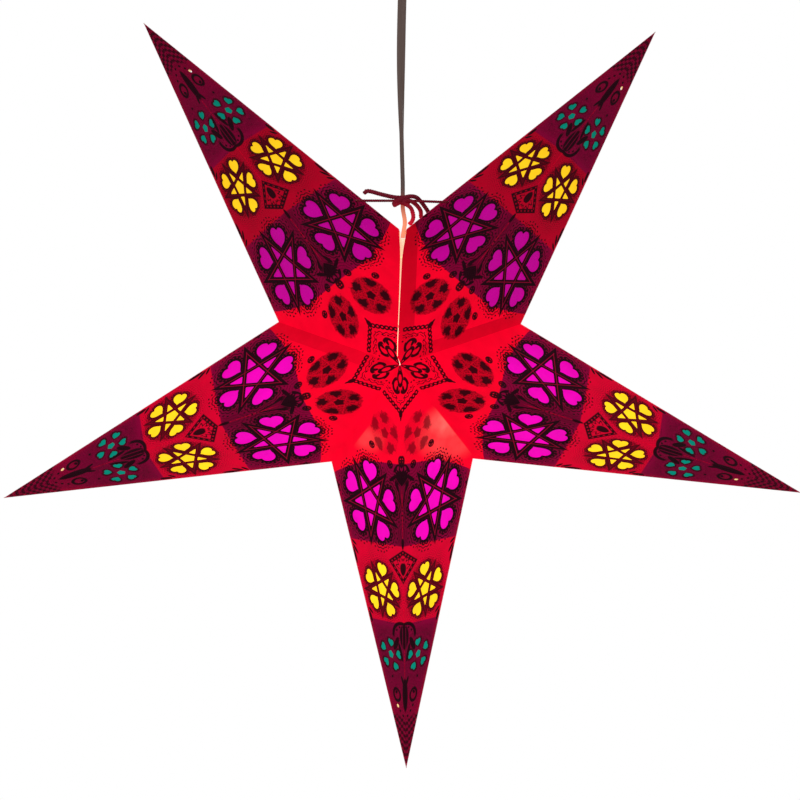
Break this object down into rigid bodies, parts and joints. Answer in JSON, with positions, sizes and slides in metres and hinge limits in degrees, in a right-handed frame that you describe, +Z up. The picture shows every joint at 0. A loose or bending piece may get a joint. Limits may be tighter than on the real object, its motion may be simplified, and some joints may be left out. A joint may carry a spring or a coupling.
{
  "type": "paper star lantern",
  "caption": "Folding paper star lantern with printed card arms and cut tissue windows, hung on a flat flex with its lampholder and bulb.",
  "frame": {"origin": "centre of the ceiling rose's flat top face, against the ceiling", "axes": "+Z up along the flex, -Y towards the viewer of the star's printed front, +X to that viewer's right"},
  "size_m": [0.5956, 0.1872, 0.644],
  "materials": {
    "printed_card": "printed card, satin",
    "tissue_paper": "thin coloured tissue",
    "string": "twisted cotton string",
    "flex_sheath": "flat twin flex, satin",
    "ivory_plastic": "moulded, semi-gloss",
    "white_ceramic": "glazed",
    "bulb_metal": "nickel plated",
    "bulb_glass": "frosted"
  },
  "bodies": {
    "rose": {"ceiling_plate": "ivory_plastic", "rose_cup": "ivory_plastic", "rose_cord_gland": "ivory_plastic", "terminal_block": "white_ceramic"},
    "flex": {"flex_upper": "flex_sheath"},
    "lamp": {"flex_lower": "flex_sheath", "holder_cord_grip": "ivory_plastic", "holder_cap": "ivory_plastic", "holder_skirt": "ivory_plastic", "holder_insert": "white_ceramic"},
    "bulb": {"bulb_base": "bulb_metal", "bulb_glass": "bulb_glass"},
    "tie": {"tie_bow": "string"},
    "upper_right_arm_front_ccw": {"upper_right_arm_front_ccw": "printed_card", "upper_right_arm_front_ccw_tissue": "tissue_paper", "tie_right": "string"},
    "upper_right_arm_front_cw": {"upper_right_arm_front_cw": "printed_card", "upper_right_arm_front_cw_tissue": "tissue_paper"},
    "right_arm_front_ccw": {"right_arm_front_ccw": "printed_card", "right_arm_front_ccw_tissue": "tissue_paper"},
    "right_arm_front_cw": {"right_arm_front_cw": "printed_card", "right_arm_front_cw_tissue": "tissue_paper"},
    "lower_arm_front_ccw": {"lower_arm_front_ccw": "printed_card", "lower_arm_front_ccw_tissue": "tissue_paper"},
    "lower_arm_front_cw": {"lower_arm_front_cw": "printed_card", "lower_arm_front_cw_tissue": "tissue_paper"},
    "left_arm_front_ccw": {"left_arm_front_ccw": "printed_card", "left_arm_front_ccw_tissue": "tissue_paper"},
    "left_arm_front_cw": {"left_arm_front_cw": "printed_card", "left_arm_front_cw_tissue": "tissue_paper"},
    "upper_left_arm_front_ccw": {"upper_left_arm_front_ccw": "printed_card", "upper_left_arm_front_ccw_tissue": "tissue_paper"},
    "upper_left_arm_front_cw": {"upper_left_arm_front_cw": "printed_card", "upper_left_arm_front_cw_tissue": "tissue_paper", "tie_left": "string"},
    "upper_right_arm_back_ccw": {"upper_right_arm_back_ccw": "printed_card", "upper_right_arm_back_ccw_tissue": "tissue_paper"},
    "upper_right_arm_back_cw": {"upper_right_arm_back_cw": "printed_card", "upper_right_arm_back_cw_tissue": "tissue_paper"},
    "right_arm_back_ccw": {"right_arm_back_ccw": "printed_card", "right_arm_back_ccw_tissue": "tissue_paper"},
    "right_arm_back_cw": {"right_arm_back_cw": "printed_card", "right_arm_back_cw_tissue": "tissue_paper"},
    "lower_arm_back_ccw": {"lower_arm_back_ccw": "printed_card", "lower_arm_back_ccw_tissue": "tissue_paper"},
    "lower_arm_back_cw": {"lower_arm_back_cw": "printed_card", "lower_arm_back_cw_tissue": "tissue_paper"},
    "left_arm_back_ccw": {"left_arm_back_ccw": "printed_card", "left_arm_back_ccw_tissue": "tissue_paper"},
    "left_arm_back_cw": {"left_arm_back_cw": "printed_card", "left_arm_back_cw_tissue": "tissue_paper"},
    "upper_left_arm_back_ccw": {"upper_left_arm_back_ccw": "printed_card", "upper_left_arm_back_ccw_tissue": "tissue_paper"},
    "upper_left_arm_back_cw": {"upper_left_arm_back_cw": "printed_card", "upper_left_arm_back_cw_tissue": "tissue_paper"}
  },
  "joints": [
    {"name": "flex_swing", "type": "hinge", "parent": "rose", "child": "flex", "pos_m": [0, 0, -0.0409], "axis": [1, 0, 0], "range_deg": [-15, 15]},
    {"name": "lamp_turn", "type": "hinge", "parent": "flex", "child": "lamp", "pos_m": [0, 0, -0.197], "axis": [0, 0, 1], "range_deg": [-180, 180]},
    {"name": "bulb_unscrew", "type": "slide", "parent": "lamp", "child": "bulb", "axis": [0, 0, -1], "range_m": [0, 0.027]},
    {"name": "star_rock", "type": "hinge", "parent": "lamp", "child": "tie", "pos_m": [0, 0, -0.205], "axis": [1, 0, 0], "range_deg": [-4, 4]},
    {"name": "lower_front_ridge_cw_fold", "type": "hinge", "parent": "tie", "child": "lower_arm_front_cw", "pos_m": [0, -0.0475, -0.489], "axis": [0, 0.2862, -0.9582], "range_deg": [0, 10.2]},
    {"name": "lower_front_ridge_ccw_fold", "type": "hinge", "parent": "tie", "child": "lower_arm_front_ccw", "pos_m": [0, -0.0475, -0.489], "axis": [0, -0.2862, 0.9582], "range_deg": [0, 10.21]},
    {"name": "lower_to_left_valley_fold", "type": "hinge", "parent": "lower_arm_front_cw", "child": "left_arm_front_ccw", "pos_m": [-0.02859, -0.0475, -0.36979], "axis": [0.419, -0.696, 0.5831], "range_deg": [0, 20.61]},
    {"name": "left_front_ridge_fold", "type": "hinge", "parent": "left_arm_front_ccw", "child": "left_arm_front_cw", "pos_m": [-0.15069, -0.0475, -0.38072], "axis": [-0.9081, 0.2862, -0.3056], "range_deg": [0, 20.41]},
    {"name": "left_to_upper_left_valley_fold", "type": "hinge", "parent": "left_arm_front_cw", "child": "upper_left_arm_front_ccw", "pos_m": [-0.04683, -0.0475, -0.31559], "axis": [0.6863, -0.696, -0.2111], "range_deg": [0, 20.61]},
    {"name": "upper_left_front_ridge_fold", "type": "hinge", "parent": "upper_left_arm_front_ccw", "child": "upper_left_arm_front_cw", "pos_m": [-0.09613, -0.0475, -0.20335], "axis": [-0.5793, 0.2862, 0.7632], "range_deg": [0, 20.41]},
    {"name": "lower_to_right_valley_fold", "type": "hinge", "parent": "lower_arm_front_ccw", "child": "right_arm_front_cw", "pos_m": [0.02859, -0.0475, -0.36979], "axis": [0.419, 0.696, -0.5831], "range_deg": [0, 20.61]},
    {"name": "right_front_ridge_fold", "type": "hinge", "parent": "right_arm_front_cw", "child": "right_arm_front_ccw", "pos_m": [0.15069, -0.0475, -0.38072], "axis": [-0.9081, -0.2862, 0.3056], "range_deg": [0, 20.41]},
    {"name": "right_to_upper_right_valley_fold", "type": "hinge", "parent": "right_arm_front_ccw", "child": "upper_right_arm_front_cw", "pos_m": [0.04683, -0.0475, -0.31559], "axis": [0.6863, 0.696, 0.2111], "range_deg": [0, 20.61]},
    {"name": "upper_right_front_ridge_fold", "type": "hinge", "parent": "upper_right_arm_front_cw", "child": "upper_right_arm_front_ccw", "pos_m": [0.09613, -0.0475, -0.20335], "axis": [-0.5793, -0.2862, -0.7632], "range_deg": [0, 20.41]},
    {"name": "upper_right_outer_edge_ccw_fold", "type": "hinge", "parent": "upper_right_arm_front_ccw", "child": "upper_right_arm_back_ccw", "pos_m": [0.09741, 0, -0.15437], "axis": [0.7737, 0, 0.6335], "range_deg": [0, 20.01]},
    {"name": "upper_right_outer_edge_cw_fold", "type": "hinge", "parent": "upper_right_arm_front_cw", "child": "upper_right_arm_back_cw", "pos_m": [0.14297, 0, -0.18894], "axis": [-0.4021, 0, -0.9156], "range_deg": [0, 20.01]},
    {"name": "right_outer_edge_ccw_fold", "type": "hinge", "parent": "right_arm_front_ccw", "child": "right_arm_back_ccw", "pos_m": [0.19753, 0, -0.36631], "axis": [0.8472, 0, -0.5312], "range_deg": [0, 20.01]},
    {"name": "right_outer_edge_cw_fold", "type": "hinge", "parent": "right_arm_front_cw", "child": "right_arm_back_cw", "pos_m": [0.17929, 0, -0.42051], "axis": [-0.996, 0, 0.0891], "range_deg": [0, 20.01]},
    {"name": "lower_outer_edge_ccw_fold", "type": "hinge", "parent": "lower_arm_front_ccw", "child": "lower_arm_back_ccw", "pos_m": [0.02859, 0, -0.52879], "axis": [-0.2332, 0, -0.9724], "range_deg": [0, 20.01]},
    {"name": "lower_outer_edge_cw_fold", "type": "hinge", "parent": "lower_arm_front_cw", "child": "lower_arm_back_cw", "pos_m": [-0.02859, 0, -0.52879], "axis": [-0.2332, 0, 0.9724], "range_deg": [0, 20.01]},
    {"name": "left_outer_edge_ccw_fold", "type": "hinge", "parent": "left_arm_front_ccw", "child": "left_arm_back_ccw", "pos_m": [-0.17929, 0, -0.42051], "axis": [-0.996, 0, -0.0891], "range_deg": [0, 20.01]},
    {"name": "left_outer_edge_cw_fold", "type": "hinge", "parent": "left_arm_front_cw", "child": "left_arm_back_cw", "pos_m": [-0.19753, 0, -0.36631], "axis": [0.8472, 0, 0.5312], "range_deg": [0, 20.01]},
    {"name": "upper_left_outer_edge_ccw_fold", "type": "hinge", "parent": "upper_left_arm_front_ccw", "child": "upper_left_arm_back_ccw", "pos_m": [-0.14297, 0, -0.18894], "axis": [-0.4021, 0, 0.9156], "range_deg": [0, 20.01]},
    {"name": "upper_left_outer_edge_cw_fold", "type": "hinge", "parent": "upper_left_arm_front_cw", "child": "upper_left_arm_back_cw", "pos_m": [-0.09741, 0, -0.15437], "axis": [0.7737, 0, -0.6335], "range_deg": [0, 20.01]}
  ],
  "couplings": [
    {"joint": "lower_front_ridge_ccw_fold", "follows": "lower_front_ridge_cw_fold", "ratio": 1},
    {"joint": "lower_to_left_valley_fold", "follows": "lower_front_ridge_cw_fold", "ratio": 2.0196},
    {"joint": "left_front_ridge_fold", "follows": "lower_front_ridge_cw_fold", "ratio": 2},
    {"joint": "left_to_upper_left_valley_fold", "follows": "lower_front_ridge_cw_fold", "ratio": 2.0196},
    {"joint": "upper_left_front_ridge_fold", "follows": "lower_front_ridge_cw_fold", "ratio": 2},
    {"joint": "lower_to_right_valley_fold", "follows": "lower_front_ridge_cw_fold", "ratio": 2.0196},
    {"joint": "right_front_ridge_fold", "follows": "lower_front_ridge_cw_fold", "ratio": 2},
    {"joint": "right_to_upper_right_valley_fold", "follows": "lower_front_ridge_cw_fold", "ratio": 2.0196},
    {"joint": "upper_right_front_ridge_fold", "follows": "lower_front_ridge_cw_fold", "ratio": 2},
    {"joint": "upper_right_outer_edge_ccw_fold", "follows": "lower_front_ridge_cw_fold", "ratio": 1.9608},
    {"joint": "upper_right_outer_edge_cw_fold", "follows": "lower_front_ridge_cw_fold", "ratio": 1.9608},
    {"joint": "right_outer_edge_ccw_fold", "follows": "lower_front_ridge_cw_fold", "ratio": 1.9608},
    {"joint": "right_outer_edge_cw_fold", "follows": "lower_front_ridge_cw_fold", "ratio": 1.9608},
    {"joint": "lower_outer_edge_ccw_fold", "follows": "lower_front_ridge_cw_fold", "ratio": 1.9608},
    {"joint": "lower_outer_edge_cw_fold", "follows": "lower_front_ridge_cw_fold", "ratio": 1.9608},
    {"joint": "left_outer_edge_ccw_fold", "follows": "lower_front_ridge_cw_fold", "ratio": 1.9608},
    {"joint": "left_outer_edge_cw_fold", "follows": "lower_front_ridge_cw_fold", "ratio": 1.9608},
    {"joint": "upper_left_outer_edge_ccw_fold", "follows": "lower_front_ridge_cw_fold", "ratio": 1.9608},
    {"joint": "upper_left_outer_edge_cw_fold", "follows": "lower_front_ridge_cw_fold", "ratio": 1.9608}
  ]
}
